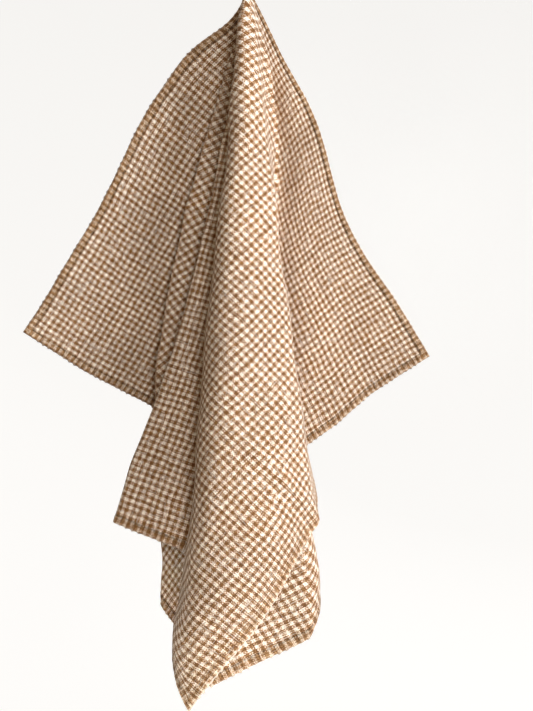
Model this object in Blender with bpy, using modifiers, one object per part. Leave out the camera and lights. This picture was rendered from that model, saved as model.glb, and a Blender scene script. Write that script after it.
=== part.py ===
import bpy
import bmesh
import numpy as np

# A tea towel hung by the middle of one long edge, in metres, +Z up. The origin is the hang point
# and -Y is the front. Every point of the flat cloth is named by its distance from the hang point
# and by its angle there: 0 along the left half of the top edge, 180 along the right half.

LONG_EDGE = 0.700
SHORT_EDGE = 0.450
THICKNESS = 0.0012
MM = 0.001

# The cloth is gathered at its tip: it starts START from the hang point, spreads to its full depth
# by TIP_LENGTH and reaches its full thickness by FULL_THICKNESS.
START = 0.004
TIP_LENGTH = 0.020
FULL_THICKNESS = 0.030

# The mesh: its columns run down the cloth and its rows run across it, closer near the tip.
COLUMNS = 117
ROWS = 25
ROW_GROWTH = 1.4
EVEN_SHARE = 0.6

# Between two folds the cloth is shared out by the section's length at this radius.
REFERENCE_RADIUS = 0.350

# Distances from the hang point, in millimetres, at which the tables below are given.
RADII = (20, 60, 110, 200, 300, 400, 450, 500, 570)

# One row for each fold, from the left hem to the right one: its angle in the flat cloth, then the
# direction in which it hangs at each of the RADII, in degrees to the right of straight down.
FOLDS = (
    ("left_hem", 0.0, (-27, -43.8, -42.3, -35.8, -33.9, -33.7, -33.7, -33.7, -33.7)),
    ("back_turn", 34.0, (2, -5, -5, -3, -0.8, 1.0, 2.0, 2.9, 3.5)),
    ("left_roll", 46.2, (-10, -15, -16.3, -16.4, -14.2, -11.0, -9.4, -8.4, -7.6)),
    ("hidden_turn", 65.5, (8, 8, 6.5, 5.2, 5.0, 5.4, 5.4, 5.4, 5.4)),
    ("panel_edge", 93.0, (-13, -9.5, -9.0, -10.2, -11.6, -13.7, -14.1, -14.3, -14.3)),
    ("right_roll", 113.0, (8, 7, 5.5, 5.4, 5.7, 6.2, 7.0, 6.7, 4.9)),
    ("front_roll", 125.0, (-15, -8.3, -6.8, -6.8, -6.6, -6.05, -6.05, -6.05, -5.95)),
    ("ridge", 143.4, (10, 7.2, 6.5, 6.9, 7.0, 7.2, 7.0, 6.9, 7.3)),
    ("tuck", 155.0, (18, 15, 12, 6.0, 3.8, 2.8, 2.6, 2.5, 2.5)),
    ("right_hem", 180.0, (28, 27, 27.8, 23.3, 25.8, 27.1, 27.3, 27.3, 27.3)),
)

# How far behind the hang point these stand at each of the RADII, in millimetres. The front fold
# runs from its base, where its left roll lies, out to its crown.
DEPTHS = {
    "left_flap": (12, 19, 25.5, 28.5, 28.8, 28.8, 28.8, 28.8, 28.8),
    "right_flap": (7, 12, 20, 27, 28.8, 28.8, 28.8, 28.8, 28.8),
    "front_base": (-9, -12, -15, -20, -25, -30, -32, -34, -37),
    "front_crown": (-13, -18, -25, -36, -49, -60, -63, -66, -68),
}

# The layers behind the front fold, from the back forwards. Each runs from one fold to the next,
# lies at a share of the way from the left flap to the front fold's base, and shares its bow.
LAYERS = (
    ("left_flap", 0.00, 0.00),
    ("roll_back", 0.17, 0.00),
    ("roll_front", 0.34, 0.00),
    ("panel_back", 0.50, 0.16),
    ("panel_front", 0.66, 0.24),
    ("inner", 0.83, 0.30),
)

# A bowed layer between its two folds: how far across it each line is, and its share of the bow.
BOW = ((0.14, 0.0), (0.30, 1.0), (0.70, 1.0), (0.86, 0.0))

# The front fold from its left roll to its ridge: how far across it each line runs above its foot
# and at its foot, and how far out the line stands, from its base at 0 to its crown at 1.
FRONT_FOLD = (
    ("left_side", 0.020, 0.15, 0.55),
    ("left_crown", 0.270, 0.66, 1.13),
    ("right_crown", 0.730, 0.85, 1.10),
    ("right_side", 0.985, 0.94, 0.62),
    ("ridge_line", 1.000, 1.00, 0.05),
)
FOOT_TOP = 400
FOOT_END = 560
RIDGE_LEAD = 1.3

# The side sheet goes from the ridge back to the tuck. At each of the RADII: its extra degrees to
# the right, its share of the depth from the front fold's base to the right flap, and the tuck's.
SIDE_SPREAD = (5, 2.5, 2.0, 0.2, 0, 0.6, 1.0, 1.0, 1.0)
SIDE_DEPTH = (0.35, 0.50, 0.62, 0.80, 0.84, 0.85, 0.85, 0.85, 0.85)
TUCK_DEPTH = (0.60, 0.80, 0.88, 0.86, 0.86, 0.86, 0.86, 0.86, 0.86)

# How far across the two flat flaps their lines lie, from the left edge of each.
LEFT_FLAP_LINES = (0.0, 0.30, 0.62)
RIGHT_FLAP_LINES = (0.0, 0.30, 0.65, 1.0)

# Slack: the share of a line's length that it loses to waves by the reference radius, by the line's
# angle in the cloth. Where it is below 0, the cloth hangs on the bias and has stretched.
SLACK = (
    (0, 0.049), (10, 0.050), (20, 0.066), (30, 0.050), (40, 0.022), (46, 0.006), (52, 0.030),
    (62, 0.030), (75, 0.025), (86, 0.022), (94, 0.020), (104, 0.010), (111, 0.020), (115, -0.033),
    (122, -0.037), (125, 0.030), (128, 0.007), (131, 0.012), (136, 0.010), (141, 0.018),
    (144, 0.020), (150, 0.020), (157, 0.005), (163, 0.014), (169, 0.036), (180, 0.052),
)
SLACK_LIMIT = 1.2


def by_radius(radius):
    """Weights that read a row of a table at each radius, on a smooth curve through its values."""
    stations = np.array(RADII, float) * MM
    held = np.clip(radius, stations[0], stations[-1])
    step = np.clip(np.searchsorted(stations, held, side="right") - 1, 0, len(stations) - 2)
    width = stations[step + 1] - stations[step]
    u = (held - stations[step]) / width
    weights = np.zeros(radius.shape + (len(stations),))
    place = tuple(np.indices(radius.shape))

    def add(index, share):
        np.add.at(weights, place + (index,), share)

    add(step, 2 * u**3 - 3 * u**2 + 1)
    add(step + 1, 3 * u**2 - 2 * u**3)
    for index, share in ((step, u**3 - 2 * u**2 + u), (step + 1, u**3 - u**2)):
        below = np.clip(index - 1, 0, len(stations) - 1)
        above = np.clip(index + 1, 0, len(stations) - 1)
        slope = share * width / (stations[above] - stations[below])
        add(above, slope)
        add(below, -slope)
    return weights


def section_lines():
    """The lines that guide the cloth's section, from the left hem to the right one.

    Gives each line's direction and depth at the RADII, and the cloth angle of some of them.
    """
    names = [name for name, _, _ in FOLDS]
    angles = {name: angle for name, angle, _ in FOLDS}
    folds = {name: np.array(across, float) for name, _, across in FOLDS}
    depth = {name: np.array(row, float) for name, row in DEPTHS.items()}
    base = depth["front_base"]
    crown = depth["front_crown"] - base
    directions, depths, marks = [], [], [(0.0, angles["left_hem"])]

    def line(direction, back):
        directions.append(direction)
        depths.append(back)

    def between(start, end, share):
        return start + (end - start) * share

    for share in LEFT_FLAP_LINES:
        line(between(folds["left_hem"], folds["back_turn"], share), depth["left_flap"])

    for k, (layer, forward, bow) in enumerate(LAYERS):
        start, end = folds[names[k]], folds[names[k + 1]]
        level = between(depth["left_flap"], base, forward)
        if layer != "left_flap":
            line(start, level)
            for share, bowed in BOW if bow else ((0.5, 0.0),):
                line(between(start, end, share), level + crown * bow * bowed)
        marks.append((len(directions) + 0.5, angles[names[k + 1]]))
        line(end, level)
    line(folds["front_roll"], base)

    foot = np.clip((np.array(RADII) - FOOT_TOP) / (FOOT_END - FOOT_TOP), 0, 1)
    for _, above, below, out in FRONT_FOLD:
        share = between(above, below, foot)
        line(between(folds["front_roll"], folds["ridge"], share), base + crown * out)
    marks.append((len(directions) - RIDGE_LEAD, angles["ridge"]))

    flap = depth["right_flap"]
    line(folds["ridge"] + np.array(SIDE_SPREAD), between(base, flap, np.array(SIDE_DEPTH)))
    line(folds["tuck"], between(base, flap, np.array(TUCK_DEPTH)))
    marks.append((float(len(directions)), angles["tuck"]))
    for share in RIGHT_FLAP_LINES:
        line(between(folds["tuck"], folds["right_hem"], share), flap)
    marks.append((len(directions) - 1.0, angles["right_hem"]))

    def with_ends(rows):
        rows = np.array(rows)
        return np.concatenate([[2 * rows[0] - rows[1]], rows, [2 * rows[-1] - rows[-2]]])

    return with_ends(directions), with_ends(depths), marks


def spline(steps, count):
    """Weights of a uniform cubic B-spline over the guiding lines."""
    first = np.clip(np.floor(steps).astype(int), 0, count - 4)
    u = steps - first
    shares = ((1 - u)**3, 3 * u**3 - 6 * u**2 + 4, -3 * u**3 + 3 * u**2 + 3 * u + 1, u**3)
    weights = np.zeros((len(steps), count))
    for k, share in enumerate(shares):
        weights[np.arange(len(steps)), first + k] += share / 6
    return weights


def hang(directions, depths, weights, radius, angle):
    """Where each point of the cloth hangs, for a grid of radii with one cloth angle a column."""
    reading = by_radius(radius)
    across = np.radians(np.einsum("jc,ck,ijk->ij", weights, directions, reading))
    tip = 1 - np.clip(radius / TIP_LENGTH, 0, 1)
    back = np.einsum("jc,ck,ijk->ij", weights, depths, reading) * MM * np.sqrt(1 - tip**2)
    lost = np.interp(angle, [row[0] for row in SLACK], [row[1] for row in SLACK])
    reach = radius * (1 - lost * np.clip(radius / REFERENCE_RADIUS, 0, SLACK_LIMIT))
    down = np.sqrt(np.maximum(reach**2 - (back * (1 - tip))**2, 0))
    return np.stack([down * np.sin(across), back, -down * np.cos(across)], axis=-1)


def cloth_columns(directions, depths, marks):
    """The weights and the cloth angles of the mesh's columns, two of them at the lower corners."""
    count = len(directions)
    fine = np.linspace(0, count - 3, 4001)
    radius = np.full((1, len(fine)), REFERENCE_RADIUS)
    points = hang(directions, depths, spline(fine, count), radius, np.full(len(fine), 90.0))[0]
    length = np.concatenate([[0], np.cumsum(np.linalg.norm(np.diff(points, axis=0), axis=1))])
    steps, angles = np.array(marks).T
    angle = np.interp(length, np.interp(steps, fine, length), angles)
    pace = EVEN_SHARE * fine / fine[-1] + (1 - EVEN_SHARE) * length / length[-1]
    columns = np.interp(np.linspace(0, 1, COLUMNS), pace, fine)
    corner = np.degrees(np.arctan2(SHORT_EDGE, LONG_EDGE / 2))
    for exact in (corner, 180 - corner):
        nearest = np.argmin(abs(np.interp(columns, fine, angle) - exact))
        columns[nearest] = np.interp(exact, angle, fine)
    return spline(columns, count), np.interp(columns, fine, angle)


def hung_cloth():
    """The middle surface of the cloth as rows of points, from the tip to the side and foot hems."""
    directions, depths, marks = section_lines()
    weights, angle = cloth_columns(directions, depths, marks)
    turn = np.radians(angle)
    to_side = LONG_EDGE / 2 / np.maximum(abs(np.cos(turn)), 1e-6)
    to_foot = SHORT_EDGE / np.maximum(np.sin(turn), 1e-6)
    share = np.linspace(0, 1, ROWS)[:, None] ** ROW_GROWTH
    radius = START + share * (np.minimum(to_side, to_foot) - START)
    return hang(directions, depths, weights, radius, angle)


def make_material(name, colour, roughness):
    material = bpy.data.materials.new(name)
    material.use_nodes = True
    shader = material.node_tree.nodes["Principled BSDF"]
    shader.inputs["Base Color"].default_value = colour + (1.0,)
    shader.inputs["Roughness"].default_value = roughness
    shader.inputs["Metallic"].default_value = 0.0
    return material


def make_towel(collection):
    """The cloth: a flat grid moved onto the folds, then given its thickness."""
    grid = bmesh.new()
    bmesh.ops.create_grid(grid, x_segments=COLUMNS - 1, y_segments=ROWS - 1, size=1.0)
    for vertex, point in zip(grid.verts, hung_cloth().reshape(-1, 3)):
        vertex.co = point
    mesh = bpy.data.meshes.new("tea_towel")
    grid.to_mesh(mesh)
    grid.free()
    mesh.shade_smooth()

    towel = bpy.data.objects.new("tea_towel", mesh)
    collection.objects.link(towel)
    towel.data.materials.append(make_material("checked_linen", (0.52, 0.37, 0.24), 0.9))

    body = towel.vertex_groups.new(name="cloth_body")
    for vertex in mesh.vertices:
        body.add([vertex.index], min(vertex.co.length / FULL_THICKNESS, 1.0), "REPLACE")
    shell = towel.modifiers.new("Thickness", "SOLIDIFY")
    shell.thickness = THICKNESS
    shell.offset = 0.0
    shell.vertex_group = body.name
    return towel


def main():
    for thing in list(bpy.data.objects):
        bpy.data.objects.remove(thing, do_unlink=True)
    collection = bpy.data.collections.new("tea_towel")
    bpy.context.scene.collection.children.link(collection)
    make_towel(collection)


main()
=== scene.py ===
import bpy
import numpy as np
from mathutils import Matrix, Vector


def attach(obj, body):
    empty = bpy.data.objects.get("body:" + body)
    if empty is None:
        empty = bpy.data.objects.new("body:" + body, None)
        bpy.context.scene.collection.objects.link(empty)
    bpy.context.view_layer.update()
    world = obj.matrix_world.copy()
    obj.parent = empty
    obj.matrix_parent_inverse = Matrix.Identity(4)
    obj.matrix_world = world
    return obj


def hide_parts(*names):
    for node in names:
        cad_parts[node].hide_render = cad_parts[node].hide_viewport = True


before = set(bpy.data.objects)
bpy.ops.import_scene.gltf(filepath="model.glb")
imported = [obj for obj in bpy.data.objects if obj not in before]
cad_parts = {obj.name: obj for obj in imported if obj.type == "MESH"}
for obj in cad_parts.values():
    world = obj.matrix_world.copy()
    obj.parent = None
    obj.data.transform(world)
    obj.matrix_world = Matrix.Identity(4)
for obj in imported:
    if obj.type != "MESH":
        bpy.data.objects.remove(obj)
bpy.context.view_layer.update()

millimetre = 0.001
tiny = 1e-12                     # keeps a division away from zero

# The tea towel hangs by the middle of one long edge. A point of the flat cloth is (across, down)
# in metres: across runs along the top edge from the hang point, down runs away from that edge.
# The same point is also a distance from the hang point and an angle there, 0 along the left half
# of the top edge and 180 along the right half.
towel = {
    "longEdge": 0.700,
    "shortEdge": 0.450,
    "thickness": 0.0009,
    "columns": 500,
    "rows": 96,
    "rowGrowth": 1.25,
    "evenShare": 0.4,            # of the columns, how many go evenly to the guiding lines
    "start": 0.004,              # the gathered tip: where the cloth starts,
    "tipLength": 0.020,          # where it has its whole depth
    "fullThickness": 0.030,      # and its whole thickness
    "reliefRange": (0.020, 0.100),    # where the relief starts and where it is whole
    "edgeInset": 0.0010,         # the sheet ends inside the hem
    "referenceRadius": 0.350,
    "sectionSteps": 4001,        # steps along the section when its length is measured
    "nudge": (0.0004, 0.02),     # metres down and degrees round, to measure slopes
    # distances from the hang point, in millimetres, for the tables below
    "radii": (20, 60, 110, 200, 300, 400, 450, 500, 570),
    # fold, its angle in the flat cloth, then its direction at each radius, in degrees to the
    # right of straight down
    "folds": (
        ("leftHem", 0.0, (-27, -43.8, -42.3, -35.8, -33.9, -33.7, -33.7, -33.7, -33.7)),
        ("backTurn", 34.0, (2, -5, -5, -3, -0.8, 1.0, 2.0, 2.9, 3.5)),
        ("leftRoll", 46.2, (-10, -15, -16.3, -16.4, -14.2, -11.0, -9.4, -8.4, -7.6)),
        ("hiddenTurn", 65.5, (8, 8, 6.5, 5.2, 5.0, 5.4, 5.4, 5.4, 5.4)),
        ("panelEdge", 93.0, (-13, -9.5, -9.0, -10.2, -11.6, -13.7, -14.1, -14.3, -14.3)),
        ("rightRoll", 113.0, (8, 7, 5.5, 5.4, 5.7, 6.2, 7.0, 6.7, 4.9)),
        ("frontRoll", 125.0, (-15, -8.3, -6.8, -6.8, -6.6, -6.05, -6.05, -6.05, -5.95)),
        ("ridge", 143.4, (10, 7.2, 6.5, 6.9, 7.0, 7.2, 7.0, 6.9, 7.3)),
        ("tuck", 155.0, (18, 15, 12, 6.0, 3.8, 2.8, 2.6, 2.5, 2.5)),
        ("rightHem", 180.0, (28, 27, 27.8, 23.3, 25.8, 27.1, 27.3, 27.3, 27.3)),
    ),
    # how far behind the hang point these stand at each radius, in millimetres
    "depths": {
        "leftFlap": (12, 19, 25.5, 28.5, 28.8, 28.8, 28.8, 28.8, 28.8),
        "rightFlap": (7, 12, 20, 27, 28.8, 28.8, 28.8, 28.8, 28.8),
        "frontBase": (-9, -12, -15, -20, -25, -30, -32, -34, -37),
        "frontCrown": (-13, -18, -25, -36, -49, -60, -63, -66, -68),
    },
    # layer, its share of the way from the left flap to the front fold's base, its bow as a share
    # of the front fold's
    "layers": (
        ("leftFlap", 0.00, 0.00),
        ("rollBack", 0.17, 0.00),
        ("rollFront", 0.34, 0.00),
        ("panelBack", 0.50, 0.16),
        ("panelFront", 0.66, 0.24),
        ("inner", 0.83, 0.30),
    ),
    # share of the way across a layer, share of its bow there; the inner layer starts at its
    # right side and bows out most there
    "bow": ((0.14, 0.0), (0.30, 1.0), (0.70, 1.0), (0.86, 0.0)),
    "innerBow": ((0.08, 1.05), (0.30, 0.45), (0.70, 0.40), (0.86, 0.0)),
    # line, how far across the front fold it runs above and at the foot, how far out it stands
    # above and at the foot
    "frontFold": (
        ("leftSide", 0.020, 0.165, 0.76, 1.02),
        ("leftCrown", 0.260, 0.50, 1.20, 1.14),
        ("rightCrown", 0.630, 0.84, 1.00, 0.73),
        ("rightSide", 0.985, 0.95, 0.34, 0.44),
        ("ridgeLine", 1.000, 1.00, 0.05, 0.05),
    ),
    "foot": (400, 560),          # the radii where the foot starts and ends
    "ridgeLead": 1.3,            # the ridge lies this many lines before the side behind it
    # the side behind the ridge: degrees past it, and share of the way back to the right flap
    "sideSpread": (5, 2.5, 2.0, 0.2, 0, 0.6, 1.0, 1.0, 1.0),
    "sideDepth": (0.35, 0.50, 0.62, 0.80, 0.84, 0.85, 0.85, 0.85, 0.85),
    "tuckDepth": (0.60, 0.86, 0.96, 1.00, 1.00, 1.00, 1.00, 1.00, 1.00),
    # shares of the way across each flap
    "leftFlapLines": (0.0, 0.30, 0.62),
    "rightFlapLines": (0.0, 0.30, 0.65, 1.0),
    # angle in the cloth, share of a line's length lost to waves by the reference radius; below
    # zero the line is drawn out
    "slack": (
        (0, 0.049), (10, 0.050), (20, 0.066), (30, 0.050), (40, 0.022), (46, 0.006),
        (52, 0.030), (62, 0.030), (75, 0.025), (86, 0.022), (94, 0.020), (104, 0.010),
        (111, 0.020), (115, -0.033), (122, -0.037), (125, 0.030), (128, 0.007), (131, 0.012),
        (136, 0.010), (141, 0.018), (144, 0.020), (150, 0.020), (157, 0.005), (163, 0.014),
        (169, 0.036), (180, 0.052),
    ),
    "slackLimit": 1.2,           # past this many reference radii the share grows no more
}


def between(start, end, share):
    return start + (end - start) * share


# A row of a table at each radius: a smooth cubic through the row's values, with the slope at each
# one taken from its neighbours. Gives the weight of every value.
def readTable(radius):
    stations = np.array(towel["radii"]) * millimetre
    held = np.clip(radius, stations[0], stations[-1])
    first = np.clip(np.searchsorted(stations, held, side="right") - 1, 0, len(stations) - 2)
    width = stations[first + 1] - stations[first]
    u = (held - stations[first]) / width
    weights = np.zeros((len(radius), len(stations)))
    rows = np.arange(len(radius))
    np.add.at(weights, (rows, first), 2 * u**3 - 3 * u**2 + 1)
    np.add.at(weights, (rows, first + 1), 3 * u**2 - 2 * u**3)
    for index, share in ((first, u**3 - 2 * u**2 + u), (first + 1, u**3 - u**2)):
        below = np.clip(index - 1, 0, len(stations) - 1)
        above = np.clip(index + 1, 0, len(stations) - 1)
        slope = share * width / (stations[above] - stations[below])
        np.add.at(weights, (rows, above), slope)
        np.add.at(weights, (rows, below), -slope)
    return weights


# The lines that guide the cloth's section, from the left hem to the right one: the direction and
# the depth of each at every radius, and marks that tie a place among them to a cloth angle.
def guidingLines():
    names = [name for name, angle, row in towel["folds"]]
    angles = {name: angle for name, angle, row in towel["folds"]}
    folds = {name: np.array(row, float) for name, angle, row in towel["folds"]}
    depth = {name: np.array(row, float) for name, row in towel["depths"].items()}
    base = depth["frontBase"]
    crown = depth["frontCrown"] - base
    directions, depths, marks = [], [], [(0.0, angles["leftHem"])]

    def line(direction, back):
        directions.append(direction)
        depths.append(back)

    for share in towel["leftFlapLines"]:
        line(between(folds["leftHem"], folds["backTurn"], share), depth["leftFlap"])
    for k, (layer, forward, bow) in enumerate(towel["layers"]):
        start, end = folds[names[k]], folds[names[k + 1]]
        level = between(depth["leftFlap"], base, forward)
        if layer != "leftFlap":
            line(start, level)
            bends = towel["innerBow"] if layer == "inner" else towel["bow"]
            for share, bowed in bends if bow else ((0.5, 0.0),):
                line(between(start, end, share), level + crown * bow * bowed)
        marks.append((len(directions) + 0.5, angles[names[k + 1]]))    # half-way round the turn
        line(end, level)
    line(folds["frontRoll"], base)

    footTop, footEnd = towel["foot"]
    towardFoot = np.clip((np.array(towel["radii"]) - footTop) / (footEnd - footTop), 0, 1)
    for _, above, below, outAbove, outBelow in towel["frontFold"]:
        direction = between(folds["frontRoll"], folds["ridge"], between(above, below, towardFoot))
        line(direction, base + crown * between(outAbove, outBelow, towardFoot))
    marks.append((len(directions) - towel["ridgeLead"], angles["ridge"]))

    flap = depth["rightFlap"]
    behind = folds["ridge"] + np.array(towel["sideSpread"])
    line(behind, between(base, flap, np.array(towel["sideDepth"])))
    line(folds["tuck"], between(base, flap, np.array(towel["tuckDepth"])))
    marks.append((float(len(directions)), angles["tuck"]))
    for share in towel["rightFlapLines"]:
        line(between(folds["tuck"], folds["rightHem"], share), flap)
    marks.append((len(directions) - 1.0, angles["rightHem"]))

    def withEnds(rows):
        rows = np.array(rows)
        return np.concatenate([[2 * rows[0] - rows[1]], rows, [2 * rows[-1] - rows[-2]]])

    return withEnds(directions), withEnds(depths), np.array(marks).T


# Weights of a uniform cubic B-spline over the guiding lines.
def splineWeights(steps, count):
    first = np.clip(np.floor(steps).astype(int), 0, count - 4)
    u = steps - first
    weights = np.zeros((len(steps), count))
    shares = ((1 - u)**3, 3 * u**3 - 6 * u**2 + 4, -3 * u**3 + 3 * u**2 + 3 * u + 1, u**3)
    for k, share in enumerate(shares):
        weights[np.arange(len(steps)), first + k] += share / 6
    return weights


directions, depths, (markSteps, markAngles) = guidingLines()


# A point hangs at its radius along its line's direction, less the slack, and at its line's depth.
# The gathered tip is rounded like the end of a ball.
def placeOnLines(radius, angle, steps):
    reading = readTable(radius)
    weights = splineWeights(steps, len(directions))
    across = np.radians(np.einsum("pc,ck,pk->p", weights, directions, reading, optimize=True))
    tip = 1 - np.clip(radius / towel["tipLength"], 0, 1)
    back = np.einsum("pc,ck,pk->p", weights, depths, reading, optimize=True) * millimetre
    back = back * np.sqrt(1 - tip**2)
    slackAngles, slackShares = np.array(towel["slack"]).T
    grown = np.clip(radius / towel["referenceRadius"], 0, towel["slackLimit"])
    reach = radius * (1 - np.interp(angle, slackAngles, slackShares) * grown)
    below = np.sqrt(np.maximum(reach**2 - (back * (1 - tip))**2, 0))
    return np.stack([below * np.sin(across), back, -below * np.cos(across)], axis=-1)


# Between two folds the cloth is shared out by the section's length at the reference radius, with
# the slack of the cloth's middle.
def anglesAlongSection():
    steps = np.linspace(0, len(directions) - 3, towel["sectionSteps"])
    radius = np.full(len(steps), towel["referenceRadius"])
    middle = np.full(len(steps), 90.0)
    points = placeOnLines(radius, middle, steps)
    length = np.concatenate([[0], np.cumsum(np.linalg.norm(np.diff(points, axis=0), axis=1))])
    angle = np.interp(length, np.interp(markSteps, steps, length), markAngles)
    return steps, length, angle


fineSteps, fineLength, fineAngle = anglesAlongSection()


# Creases and swells of the cloth. Each is a bell across the line between two points of the flat
# cloth, in millimetres: how wide it is and how high it stands out of the face that the flaps and
# the front fold show.
relief = (
    # name, across, down, across, down, width, height
    ("leftSwell", -250, 120, -210, 330, 55, 2.0),
    ("leftHollow", -160, 90, -190, 300, 40, -2.0),
    ("leftLift", -140, -8, -360, -8, 62, 6.5),
    ("rightSwell", 200, 50, 300, 110, 42, 2.0),
    ("rightHollow", 85, 43, 300, 134, 18, -4.6),
    ("rightLift", 120, -8, 360, -8, 66, 9.0),
    ("tipGatherLeft", 10, 13, 68, 92, 5, 1.2),
    ("tipGatherMiddle", 12, 12, 86, 88, 5, 1.4),
    ("tipGatherRight", 15, 8, 110, 50, 6, -1.2),
    ("flapGather", -20, 7, -90, 42, 6, 1.6),
    ("flapWrinkle", -50, 7, -96, 14, 5, 1.4),
    ("footCrease", 235, 258, 300, 262, 7, 1.6),
    ("footCorner", 300, 262, 356, 262, 9, 3.0),
    ("footRoll", 318, 296, 318, 420, 19, 5.6),
    ("innerFoot", 240, 452, 262, 452, 42, 8.5),
)

# Slow unevenness of the cloth: a few waves that cross each other, in millimetres.
waves = (
    # wavelength across, wavelength down, phase, height
    (95, 160, 0.4, 0.55),
    (-70, 120, 1.9, 0.45),
    (48, -85, 3.1, 0.30),
    (33, 41, 5.2, 0.16),
    (-26, 57, 0.9, 0.14),
)


# The height of a bell is its top times exp(-(distance from its line / width) squared), and a wave
# is a sine of across and down together. All of them add up.
def reliefAt(u, v):
    u, v = u / millimetre, v / millimetre
    height = np.zeros_like(u)
    for _, startU, startV, endU, endV, width, high in relief:
        runU, runV = endU - startU, endV - startV
        along = ((u - startU) * runU + (v - startV) * runV) / (runU**2 + runV**2)
        along = np.clip(along, 0, 1)
        away = np.hypot(u - startU - along * runU, v - startV - along * runV)
        height += high * np.exp(-(away / width)**2)
    for acrossWave, downWave, phase, high in waves:
        height += high * np.sin(2 * np.pi * (u / acrossWave + v / downWave) + phase)
    return height * millimetre


# A flat point's place on the hanging cloth and the direction out of its face there, from the
# slopes along the radius and round the hang point. The relief fades out at the tip.
def hangPoint(u, v):
    radius = np.hypot(u, v)
    angle = np.degrees(np.arctan2(np.maximum(v, 0), -u))
    farther, turned = towel["nudge"]

    def place(r, a):
        return placeOnLines(r, a, np.interp(a, fineAngle, fineSteps))

    downSlope = place(radius + farther, angle) - place(radius - farther, angle)
    turnSlope = (place(radius, np.minimum(angle + turned, 180))
                 - place(radius, np.maximum(angle - turned, 0)))
    out = np.cross(downSlope, turnSlope)
    out /= np.maximum(np.linalg.norm(out, axis=1, keepdims=True), tiny)
    fadeStart, fadeEnd = towel["reliefRange"]
    fade = np.clip((radius - fadeStart) / (fadeEnd - fadeStart), 0, 1)
    return place(radius, angle) + out * (reliefAt(u, v) * fade)[:, None], out


# A mesh whose UV map, flatCloth, is each point's place in the flat cloth.
def meshFrom(name, points, faces, flat):
    mesh = bpy.data.meshes.new(name)
    mesh.from_pydata(points, [], faces)
    mesh.update()
    uvLayer = mesh.uv_layers.new(name="flatCloth")
    corner = np.zeros(len(mesh.loops), dtype=np.int32)
    mesh.loops.foreach_get("vertex_index", corner)
    half = towel["longEdge"] / 2
    uv = np.stack([(flat[:, 0] + half) / towel["longEdge"], flat[:, 1] / towel["shortEdge"]], axis=1)
    uvLayer.data.foreach_set("uv", uv[corner].astype(np.float32).ravel())
    mesh.shade_smooth()
    piece = bpy.data.objects.new(name, mesh)
    bpy.context.scene.collection.objects.link(piece)
    return piece


# Four-sided faces between the rows and columns of a grid. A closed grid joins its last column to
# its first.
def gridFaces(rows, columns, closed=False):
    i, j = np.meshgrid(np.arange(rows - 1), np.arange(columns - (not closed)), indexing="ij")
    here, below = i * columns, (i + 1) * columns
    after = (j + 1) % columns
    faces = np.stack([here + j, below + j, below + after, here + after], axis=-1)
    return faces.reshape(-1, 4).tolist()


# The sheet: columns run down from the tip, rows run parallel to the side and foot edges. A column
# is moved to run exactly to each lower corner.
def buildCloth():
    half, inset = towel["longEdge"] / 2, towel["edgeInset"]
    pace = between(fineLength / fineLength[-1], fineSteps / fineSteps[-1], towel["evenShare"])
    columns = np.interp(np.linspace(0, 1, towel["columns"]), pace, fineSteps)
    angle = np.interp(columns, fineSteps, fineAngle)
    corner = np.degrees(np.arctan2(towel["shortEdge"], half))
    for exact in (corner, 180 - corner):
        angle[np.argmin(abs(angle - exact))] = exact
    turn = np.radians(angle)
    toSide = (half - inset) / np.maximum(abs(np.cos(turn)), tiny)
    toFoot = (towel["shortEdge"] - inset) / np.maximum(np.sin(turn), tiny)
    share = np.linspace(0, 1, towel["rows"])[:, None] ** towel["rowGrowth"]
    radius = between(towel["start"], np.minimum(toSide, toFoot), share)
    u, v = (-radius * np.cos(turn)).ravel(), (radius * np.sin(turn)).ravel()
    points, _ = hangPoint(u, v)
    faces = gridFaces(towel["rows"], towel["columns"])
    cloth = meshFrom("tea_towel_cloth", points, faces, np.stack([u, v], axis=1))

    # whole thickness everywhere but near the tip
    body = cloth.vertex_groups.new(name="body")
    body.add(list(range(len(u))), 1.0, "REPLACE")
    fullness = np.hypot(u, v) / towel["fullThickness"]
    for k in np.flatnonzero(fullness < 1):
        body.add([int(k)], fullness[k], "REPLACE")
    shell = cloth.modifiers.new("Thickness", "SOLIDIFY")
    shell.thickness = towel["thickness"]
    shell.offset = 0.0
    shell.vertex_group = body.name
    return cloth


# The hem's lengths are in metres, except in its profile.
hem = {
    "step": 0.0013,              # along the edge
    "tipGap": 0.010,             # the hem of the top edge starts this far from the hang point
    "mitre": 0.010,              # how far from a corner the hem leans into it
    # distance in from the edge and height above the cloth's middle, both in millimetres
    "profile": ((0.0, 0.0), (0.2, 0.62), (0.9, 0.98), (2.4, 0.92), (4.2, 0.90), (5.5, 0.95),
                (6.2, 0.50), (6.8, 0.86), (7.4, 0.42)),
    "check": 0.0053,             # one brown and one natural stripe, as in the linen
    "scallop": 0.0007,           # how far each stripe bulges at the edge
    "scallopDrift": (0.6, 230),  # how much that changes along the edge, radians per metre
    "scallopRange": (0.003, 0.015),   # from a corner, where it starts and where it is whole
    "puff": 0.10,                # how much thicker each stripe is
    "puffDrift": (0.08, 410),
}


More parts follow.
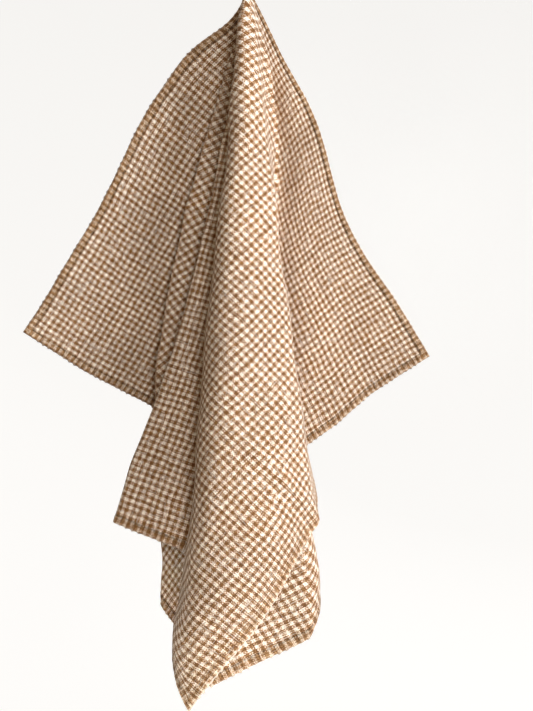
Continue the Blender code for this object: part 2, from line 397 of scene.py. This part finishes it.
# The hem: a flat rounded roll along the whole edge, from the tip round the four sides and back.
# Its profile goes inward over the cloth's face and comes back behind it.
def buildHem():
    half, foot, gap = towel["longEdge"] / 2, towel["shortEdge"], hem["tipGap"]
    corners = np.array([(-gap, 0), (-half, 0), (-half, foot), (half, foot), (half, 0), (gap, 0)])
    diagonals = np.array([(0, 1), (1, 1), (1, -1), (-1, -1), (-1, 1), (0, 1)])
    runs = np.linalg.norm(np.diff(corners, axis=0), axis=1)
    reach = np.concatenate([[0], np.cumsum(runs)])
    even = np.linspace(0, reach[-1], int(reach[-1] / hem["step"]))
    along = np.unique(np.concatenate([even, reach]))
    edge = np.stack([np.interp(along, reach, corners[:, k]) for k in (0, 1)], axis=1)

    # away from the corners the inset is square to the edge; near them it leans into a mitre
    run = np.clip(np.searchsorted(reach, along, side="right") - 1, 0, len(runs) - 1)
    behind, ahead = along - reach[run], reach[run + 1] - along
    toCorner = np.minimum(behind, ahead)
    square = np.array([(0, 1), (1, 0), (0, -1), (-1, 0), (0, 1)])[run]
    diagonal = np.where((behind < ahead)[:, None], diagonals[run], diagonals[run + 1])
    lean = np.clip(1 - toCorner / hem["mitre"], 0, 1)[:, None]
    inset = square * (1 - lean) + diagonal * lean

    stripes = np.cos(2 * np.pi * along / hem["check"])
    drift, rate = hem["scallopDrift"]
    scallopStart, scallopEnd = hem["scallopRange"]
    bulge = hem["scallop"] * stripes * (1 + drift * np.sin(along * rate))
    bulge = bulge * np.clip((toCorner - scallopStart) / (scallopEnd - scallopStart), 0, 1)
    drift, rate = hem["puffDrift"]
    puff = 1 + hem["puff"] * stripes + drift * np.sin(along * rate)

    upper = list(hem["profile"])
    lower = [(d, -h) for d, h in upper[:0:-1]]
    profile = np.array(upper + lower) * millimetre
    points, flats = [], []
    for d, h in profile:
        flat = edge + inset * d
        spot, out = hangPoint(flat[:, 0], flat[:, 1])
        thin = np.clip(np.hypot(flat[:, 0], flat[:, 1]) / towel["fullThickness"], 0, 1)
        if d == 0:               # the outermost line bulges at each stripe
            inside, _ = hangPoint(*(edge + inset * millimetre).T)
            spot = spot + (spot - inside) / millimetre * bulge[:, None]
        points.append(spot + out * (h * puff * thin)[:, None])
        flats.append(flat)
    points = np.stack(points, axis=1).reshape(-1, 3)
    flats = np.stack(flats, axis=1).reshape(-1, 2)
    faces = gridFaces(len(along), len(profile), closed=True)
    return meshFrom("tea_towel_hem", points, faces, flats)


cloth = buildCloth()
print("cloth sheet built")
hemRoll = buildHem()
print("hem built")


# The linen: a small check of brown and natural stripes in both directions, in uneven threads.
# Lengths are in millimetres.
linen = {
    "brown": (0.185, 0.078, 0.021, 1.0),
    "mixed": (0.410, 0.226, 0.094, 1.0),
    "natural": (0.870, 0.802, 0.715, 1.0),
    "check": 5.3,                # one brown and one natural stripe
    "thread": 0.8833,            # three threads to a stripe
    "tone": 1.0,                 # how far single threads differ in tone
    "agedScale": 0.012,          # slow change over the whole towel
    "agedColor": (0.25, 0.75, 0.92, 1.06),      # its low and high level, the colour's factors there
    "agedRoughness": (0.2, 0.8, 0.84, 0.96),    # its low and high level, the roughness there
    "specular": 0.25,
    "sheen": 0.12,
    "sheenRoughness": 0.5,
}

# How the threads lie. A scale is that of a noise, a tone is how strongly one thing changes the
# threads' tone.
weave = {
    "wander": ((0.05, 2.0), (0.42, 0.3)),    # scale, millimetres that the threads move there
    "stripeEdge": (-0.10, 0.02),  # the heights of the sine between which natural turns brown
    "blurredStripe": 0.80,       # share of brown in a stripe that is blurred away
    "threadTone": 0.45,
    "streakScale": 0.16,         # along a thread; one thread across
    "streakTone": 2.2,
    "grainScale": 1.15,
    "grainTone": 3.6,
    "slubScale": (0.62, 0.06),   # across and along
    "slubLevels": (0.64, 0.80),
    "slubPale": 0.45,
    "onTop": (0.30, 0.70),       # weft's share where warp is on top, and where weft is
    "parityShift": 4000.0,       # keeps the count of threads above zero
    "patchScale": 0.22,
    "patchShare": 0.20,          # how much of brown and natural a patch changes
    "toneShare": 0.26,           # how much of them the tone changes
    "toneGain": 0.30,            # how much lighter or darker it makes them
    "leastGain": 0.25,
    "threadHeight": 0.10,
    "slubHeight": 0.10,
    "toneHeight": 0.06,
    "puckerScale": 0.11,
    "puckerHeight": 0.75,
}


# A new node. Each of its inputs takes another node's output or a plain value.
def addNode(tree, kind, inputs=(), **settings):
    node = tree.nodes.new(kind)
    for name, value in settings.items():
        setattr(node, name, value)
    for socket, value in dict(inputs).items():
        if isinstance(value, bpy.types.NodeSocket):
            tree.links.new(value, node.inputs[socket])
        else:
            node.inputs[socket].default_value = value
    return node


def mathNode(tree, operation, a, b=0.0, clamp=False):
    settings = {"operation": operation, "use_clamp": clamp}
    return addNode(tree, "ShaderNodeMath", {0: a, 1: b}, **settings).outputs[0]


def plus(tree, a, b):
    return mathNode(tree, "ADD", a, b)


def minus(tree, a, b, clamp=False):
    return mathNode(tree, "SUBTRACT", a, b, clamp)


def times(tree, a, b, clamp=False):
    return mathNode(tree, "MULTIPLY", a, b, clamp)


def vectorNode(tree, operation, inputs):
    return addNode(tree, "ShaderNodeVectorMath", inputs, operation=operation).outputs[0]


def scaled(tree, vector, factor):
    return vectorNode(tree, "SCALE", {0: vector, 3: factor})


def blend(tree, factor, a, b):
    return addNode(tree, "ShaderNodeMix", {0: factor, 2: a, 3: b}, data_type="FLOAT").outputs[0]


def blendColor(tree, factor, a, b):
    return addNode(tree, "ShaderNodeMix", {0: factor, 6: a, 7: b}, data_type="RGBA").outputs[2]


# A soft step: start where the value is below low, end where it is above high.
def step(tree, value, low, high, start=0.0, end=1.0):
    return addNode(tree, "ShaderNodeMapRange", {0: value, 1: low, 2: high, 3: start, 4: end},
                   interpolation_type="SMOOTHSTEP").outputs[0]


def noise(tree, vector, scale, detail=2.0, roughness=0.5, output=0):
    given = {"Vector": vector, "Scale": scale, "Detail": detail, "Roughness": roughness}
    return addNode(tree, "ShaderNodeTexNoise", given, noise_dimensions="2D").outputs[output]


# Colour and height of the weave from a place in millimetres. A stripe is a sine sharpened to a
# soft square wave, and warp and weft take turns on top. The share of brown there, changed a little
# by patches and by the threads' tone, picks the colour from natural through mixed to brown. The
# tone also makes it lighter or darker, and thick slubs are paler.
def makeWeaveGroup():
    tree = bpy.data.node_groups.new("linenWeave", "ShaderNodeTree")
    for name, kind in (("Place", "Vector"), ("Check", "Float"), ("Thread", "Float"),
                       ("Brown", "Color"), ("Mixed", "Color"), ("Natural", "Color"),
                       ("Tone", "Float"), ("Blur Across", "Float"), ("Blur Down", "Float")):
        tree.interface.new_socket(name, in_out="INPUT", socket_type="NodeSocket" + kind)
    for name, kind in (("Color", "Color"), ("Height", "Float")):
        tree.interface.new_socket(name, in_out="OUTPUT", socket_type="NodeSocket" + kind)
    given = tree.nodes.new("NodeGroupInput").outputs
    result = tree.nodes.new("NodeGroupOutput").inputs

    moved = given["Place"]
    for scale, reach in weave["wander"]:
        turned = noise(tree, given["Place"], scale, output=1)
        centred = vectorNode(tree, "SUBTRACT", {0: turned, 1: (0.5, 0.5, 0.5)})
        moved = vectorNode(tree, "ADD", {0: moved, 1: scaled(tree, centred, reach)})
    split = addNode(tree, "ShaderNodeSeparateXYZ", {0: moved}).outputs

    # the threads that run one way: their stripe, tone, slub, round top and number
    def threads(across, along, blur):
        turns = mathNode(tree, "DIVIDE", across, given["Check"])
        wave = mathNode(tree, "SINE", times(tree, turns, 2 * np.pi))
        stripe = blend(tree, blur, step(tree, wave, *weave["stripeEdge"]), weave["blurredStripe"])
        count = mathNode(tree, "DIVIDE", across, given["Thread"])
        index = mathNode(tree, "FLOOR", count)
        single = addNode(tree, "ShaderNodeTexWhiteNoise", {"W": index}, noise_dimensions="1D").outputs[0]
        drawn = times(tree, along, weave["streakScale"])
        lie = addNode(tree, "ShaderNodeCombineXYZ", {0: count, 1: drawn}).outputs[0]
        streak = noise(tree, lie, 1.0, roughness=0.6)
        tone = plus(tree, times(tree, minus(tree, single, 0.5), weave["threadTone"]),
                    times(tree, minus(tree, streak, 0.5), weave["streakTone"]))
        slubAcross, slubAlong = weave["slubScale"]
        thick = addNode(tree, "ShaderNodeCombineXYZ", {0: times(tree, count, slubAcross),
                                                       1: times(tree, along, slubAlong)}).outputs[0]
        slub = step(tree, noise(tree, thick, 1.0, detail=1.0), *weave["slubLevels"])
        top = mathNode(tree, "SINE", times(tree, mathNode(tree, "FRACT", count), np.pi))
        return stripe, times(tree, tone, given["Tone"]), slub, top, index

    warp = threads(split[0], split[1], given["Blur Across"])
    weft = threads(split[1], split[0], given["Blur Down"])
    stripes, tones, slubs, tops, indexes = zip(warp, weft)

    parity = mathNode(tree, "MODULO", plus(tree, plus(tree, *indexes), weave["parityShift"]), 2.0)
    onTop = step(tree, parity, 0.0, 1.0, *weave["onTop"])
    slub = mathNode(tree, "MAXIMUM", *slubs)
    grain = minus(tree, noise(tree, given["Place"], weave["grainScale"], roughness=0.7), 0.5)
    tone = plus(tree, plus(tree, *tones), times(tree, grain, weave["grainTone"]))
    patch = minus(tree, noise(tree, given["Place"], weave["patchScale"]), 0.5)
    share = plus(tree, blend(tree, onTop, *stripes), times(tree, patch, weave["patchShare"]))
    share = minus(tree, share, times(tree, tone, weave["toneShare"]))
    color = blendColor(tree, times(tree, share, 2.0, clamp=True), given["Natural"], given["Mixed"])
    past = minus(tree, times(tree, share, 2.0), 1.0, clamp=True)
    color = blendColor(tree, past, color, given["Brown"])
    color = blendColor(tree, times(tree, slub, weave["slubPale"]), color, given["Natural"])
    gain = plus(tree, 1.0, times(tree, tone, weave["toneGain"]))
    gain = mathNode(tree, "MAXIMUM", gain, weave["leastGain"])
    tree.links.new(scaled(tree, color, gain), result["Color"])

    height = times(tree, blend(tree, onTop, *tops), weave["threadHeight"])
    height = plus(tree, height, times(tree, slub, weave["slubHeight"]))
    height = plus(tree, height, times(tree, tone, weave["toneHeight"]))
    pucker = noise(tree, given["Place"], weave["puckerScale"], detail=3.0)
    tree.links.new(plus(tree, height, times(tree, pucker, weave["puckerHeight"])), result["Height"])
    return tree


weaveGroup = makeWeaveGroup()

# The hem's look, in millimetres in from the edge. Of two shares, the first is the usual one and
# the second is for the pale stretch, the right side's lower part, which ends the front fold; there
# the hem is painted as lit, with no painted shade, a lighter seam line and a stronger painted highlight.
hemLook = {
    "topNatural": (0.780, 0.660, 0.520, 1.0),
    "sideNatural": (0.800, 0.700, 0.580, 1.0),
    "tone": 1.3,
    "band": 12.0,                # the top edge's hem, or the right side's, lies within this
    "paleStart": 180.0,          # how far down the pale stretch starts
    "blur": 0.45,                # of the stripes that run along the hem
    "seam": 6.5,                 # the line of stitches,
    "seamScale": 0.3,
    "seamWander": 0.8,           # how crooked it is,
    "seamWidth": (0.35, 1.25),   # and how far from it the dark of stitches and painted seam shadow starts to fade and is gone
    "seamDark": 0.9,
    "seamShare": (1.0, 0.35),    # how much of that dark, stitches and painted shadow, there is
    "stitchScale": 0.55,
    "stitchLevels": (0.30, 0.50),
    "stitchShade": 0.36,         # the colour's factor in a stitch and its painted groove shadow
    "seamDepth": 0.25,
    "shade": (0.86, 1.0),        # the colour's factor beside them: painted shade of the thick roll, partly its denser cloth
    "rim": (0.2, 1.2),           # where the painted highlight on the outer edge starts to fade and is gone
    "edgeHighlightShare": (0.2, 0.8),
}


# On the hem the turned edge lies over the stripes that run along it and blurs them, and a broken dark line
# of stitches closes it, with a painted shadow of the seam's groove. The hem is darker, partly painted shade
# of its thick roll and partly its denser cloth, and its outer edge gets a painted highlight.
def finishHem(tree, place, size, weaveNode, color, height):
    split = addNode(tree, "ShaderNodeSeparateXYZ", {0: place}).outputs
    fromEdges = []
    for value, whole in zip(split, size):
        away = mathNode(tree, "ABSOLUTE", minus(tree, value, whole / 2))
        fromEdges.append(minus(tree, whole / 2, away))
    atSide = mathNode(tree, "LESS_THAN", *fromEdges)
    tree.links.new(times(tree, atSide, hemLook["blur"]), weaveNode.inputs["Blur Across"])
    tree.links.new(times(tree, minus(tree, 1.0, atSide), hemLook["blur"]), weaveNode.inputs["Blur Down"])
    atTop = mathNode(tree, "LESS_THAN", split[1], hemLook["band"])
    natural = blendColor(tree, atTop, hemLook["sideNatural"], hemLook["topNatural"])
    tree.links.new(natural, weaveNode.inputs["Natural"])
    weaveNode.inputs["Tone"].default_value = hemLook["tone"]
    # the pale stretch is painted as lit: no painted shade, a lighter seam line and a stronger painted edge
    # highlight
    pale = times(tree, mathNode(tree, "GREATER_THAN", split[0], size[0] - hemLook["band"]),
                 mathNode(tree, "GREATER_THAN", split[1], hemLook["paleStart"]))

    inward = mathNode(tree, "MINIMUM", *fromEdges)
    bent = noise(tree, place, hemLook["seamScale"], detail=1.0)
    crooked = plus(tree, inward, times(tree, bent, hemLook["seamWander"]))
    fromSeam = mathNode(tree, "ABSOLUTE", minus(tree, crooked, hemLook["seam"] + hemLook["seamWander"] / 2))
    broken = noise(tree, place, hemLook["stitchScale"], detail=1.0)
    stitches = step(tree, broken, *hemLook["stitchLevels"])
    # stitches and painted shadow: a broken dark line along the seam, partly the stitches, partly the
    # painted shadow of the seam's groove
    stitchesAndSeamShadow = times(tree, step(tree, fromSeam, *hemLook["seamWidth"], hemLook["seamDark"], 0.0), stitches)
    stitchesAndSeamShadow = times(tree, stitchesAndSeamShadow, blend(tree, pale, *hemLook["seamShare"]))
    # painted shade, partly denser cloth: the hem is darkened, but not on the pale stretch
    shade = scaled(tree, color, blend(tree, pale, *hemLook["shade"]))
    color = blendColor(tree, stitchesAndSeamShadow, shade, scaled(tree, color, hemLook["stitchShade"]))
    # painted highlight: the hem's outer edge is painted paler, towards the natural colour, most on the pale
    # stretch
    rim = step(tree, inward, *hemLook["rim"], 1.0, 0.0)
    rim = times(tree, rim, blend(tree, pale, *hemLook["edgeHighlightShare"]))
    color = blendColor(tree, rim, color, linen["natural"])
    return color, minus(tree, height, times(tree, stitchesAndSeamShadow, hemLook["seamDepth"]))


# Linen for the sheet or the hem. The pattern's place is the flat cloth's own, in millimetres from
# its upper left corner.
def makeLinen(name, isHem):
    material = bpy.data.materials.new(name)
    material.use_nodes = True
    tree = material.node_tree
    shader = tree.nodes["Principled BSDF"]
    uv = addNode(tree, "ShaderNodeUVMap", uv_map="flatCloth").outputs[0]
    size = (towel["longEdge"] / millimetre, towel["shortEdge"] / millimetre)
    place = addNode(tree, "ShaderNodeMapping", {"Vector": uv, "Scale": (*size, 1.0)}).outputs[0]
    weaveNode = addNode(tree, "ShaderNodeGroup", node_tree=weaveGroup)
    tree.links.new(place, weaveNode.inputs["Place"])
    for socket in ("Check", "Thread", "Brown", "Mixed", "Natural", "Tone"):
        weaveNode.inputs[socket].default_value = linen[socket.lower()]
    color, height = weaveNode.outputs["Color"], weaveNode.outputs["Height"]
    aged = noise(tree, place, linen["agedScale"], detail=3.0)
    color = scaled(tree, color, step(tree, aged, *linen["agedColor"]))
    if isHem:
        color, height = finishHem(tree, place, size, weaveNode, color, height)
    tree.links.new(color, shader.inputs["Base Color"])
    tree.links.new(step(tree, aged, *linen["agedRoughness"]), shader.inputs["Roughness"])
    bump = addNode(tree, "ShaderNodeBump", {"Height": height, "Distance": millimetre, "Strength": 1.0})
    tree.links.new(bump.outputs[0], shader.inputs["Normal"])
    shader.inputs["Specular IOR Level"].default_value = linen["specular"]
    shader.inputs["Sheen Weight"].default_value = linen["sheen"]
    shader.inputs["Sheen Roughness"].default_value = linen["sheenRoughness"]
    return material


cloth.data.materials.append(makeLinen("checkedLinen", False))
hemRoll.data.materials.append(makeLinen("hemLinen", True))
print("linen materials made")

for piece in (cloth, hemRoll):
    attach(piece, "root")
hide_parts("tea_towel")


# The studio: a pale floor that curves up all round like a shallow bowl, and soft lights.
studio = {
    "floorHeight": -1.25,
    "firstRadius": 0.4,
    "flatRadius": 1.8,
    "rimRadius": 3.8,
    "rimHeight": 2.6,
    "segments": 96,
    "flatRings": 6,
    "curvedRings": 28,
    "paint": (0.40, 0.40, 0.397, 1.0),
    "paintRoughness": 0.95,
    "glow": (0.746, 0.756, 0.760, 1.0),   # the floor's own light, as if lit from below
    "sky": (1.0, 0.75, 0.47, 1.0),
    "skyStrength": 0.24,
    # name, place, aim, width, power, color, spread in radians
    "lamps": (
        ("keyLamp", (1.55, -1.00, 0.22), (0.0, 0.0, -0.33), 0.9, 42.0, (1.0, 0.985, 0.99), np.pi),
        ("frontLamp", (0.70, -2.20, 0.45), (0.0, 0.0, -0.33), 1.0, 28.0, (1.0, 0.985, 0.99), np.pi),
        ("lowLamp", (-0.22, -1.24, -0.98), (0.01, 0.0, -0.61), 0.16, 0.19, (1.0, 0.99, 0.93), 0.32),
        ("backLamp", (0.8, 1.6, 0.5), (0.0, 0.0, -0.28), 1.2, 16.0, (1.0, 1.0, 1.0), np.pi),
    ),
}

# The camera stands level with the middle of the towel and looks straight back at it.
camera = {
    "place": (0.0147, -0.870, -0.295),
    "turn": (np.pi / 2, 0.0, 0.0),
    "sensorHeight": 24.0,
    "focalPixels": 1093.0,       # the focal length in pixels of the photo,
    "pixelsHigh": 711.0,         # which is this many high
    "clip": (0.05, 30.0),
}


# Height of the floor at a radius: level, then a quarter of a cosine wave up to the rim.
def buildStage():
    flat, rim = studio["flatRadius"], studio["rimRadius"]
    level = np.linspace(studio["firstRadius"], flat, studio["flatRings"])
    curved = np.linspace(flat, rim, studio["curvedRings"])[1:]
    radii = np.concatenate([level, curved])[:, None]
    up = np.clip((radii - flat) / (rim - flat), 0, 1)
    height = between(studio["floorHeight"], studio["rimHeight"], 1 - np.cos(up * np.pi / 2))
    turn = np.linspace(0, 2 * np.pi, studio["segments"], endpoint=False)
    rings = np.stack([radii * np.cos(turn), radii * np.sin(turn), height + 0 * turn], axis=-1)
    points = np.concatenate([[(0, 0, studio["floorHeight"])], rings.reshape(-1, 3)])
    count = len(turn)
    middle = [(0, 1 + k, 1 + (k + 1) % count) for k in range(count)]
    around = (np.array(gridFaces(len(radii), count, closed=True)) + 1).tolist()
    mesh = bpy.data.meshes.new("studio_floor")
    mesh.from_pydata(points, [], middle + around)
    mesh.shade_smooth()
    floor = bpy.data.objects.new("studio_floor", mesh)
    bpy.context.scene.collection.objects.link(floor)
    paint = bpy.data.materials.new("studioPaint")
    paint.use_nodes = True
    shader = paint.node_tree.nodes["Principled BSDF"]
    shader.inputs["Base Color"].default_value = studio["paint"]
    shader.inputs["Roughness"].default_value = studio["paintRoughness"]
    shader.inputs["Specular IOR Level"].default_value = 0.0
    shader.inputs["Emission Color"].default_value = studio["glow"]
    shader.inputs["Emission Strength"].default_value = 1.0
    floor.data.materials.append(paint)
    floor.visible_diffuse = False    # its light stays off the towel, so the folds keep their shade


def buildLights():
    world = bpy.data.worlds.new("studioSky")
    world.use_nodes = True
    background = world.node_tree.nodes["Background"]
    background.inputs["Color"].default_value = studio["sky"]
    background.inputs["Strength"].default_value = studio["skyStrength"]
    bpy.context.scene.world = world
    for name, place, aim, width, power, color, spread in studio["lamps"]:
        lamp = bpy.data.lights.new(name, "AREA")
        lamp.shape = "DISK"
        lamp.size = width
        lamp.energy = power
        lamp.color = color
        lamp.spread = spread
        holder = bpy.data.objects.new(name, lamp)
        holder.location = place
        holder.rotation_euler = (Vector(aim) - Vector(place)).to_track_quat("-Z", "Y").to_euler()
        holder.visible_camera = False
        bpy.context.scene.collection.objects.link(holder)


def placeCamera():
    lens = bpy.data.cameras.new("photoView")
    lens.sensor_fit = "VERTICAL"
    lens.sensor_height = camera["sensorHeight"]
    lens.lens = camera["sensorHeight"] * camera["focalPixels"] / camera["pixelsHigh"]
    lens.clip_start, lens.clip_end = camera["clip"]
    holder = bpy.data.objects.new("photoView", lens)
    holder.location = camera["place"]
    holder.rotation_euler = camera["turn"]
    bpy.context.scene.collection.objects.link(holder)
    bpy.context.scene.camera = holder


buildStage()
buildLights()
placeCamera()
bpy.context.scene.view_settings.view_transform = "Standard"
print("studio set up")
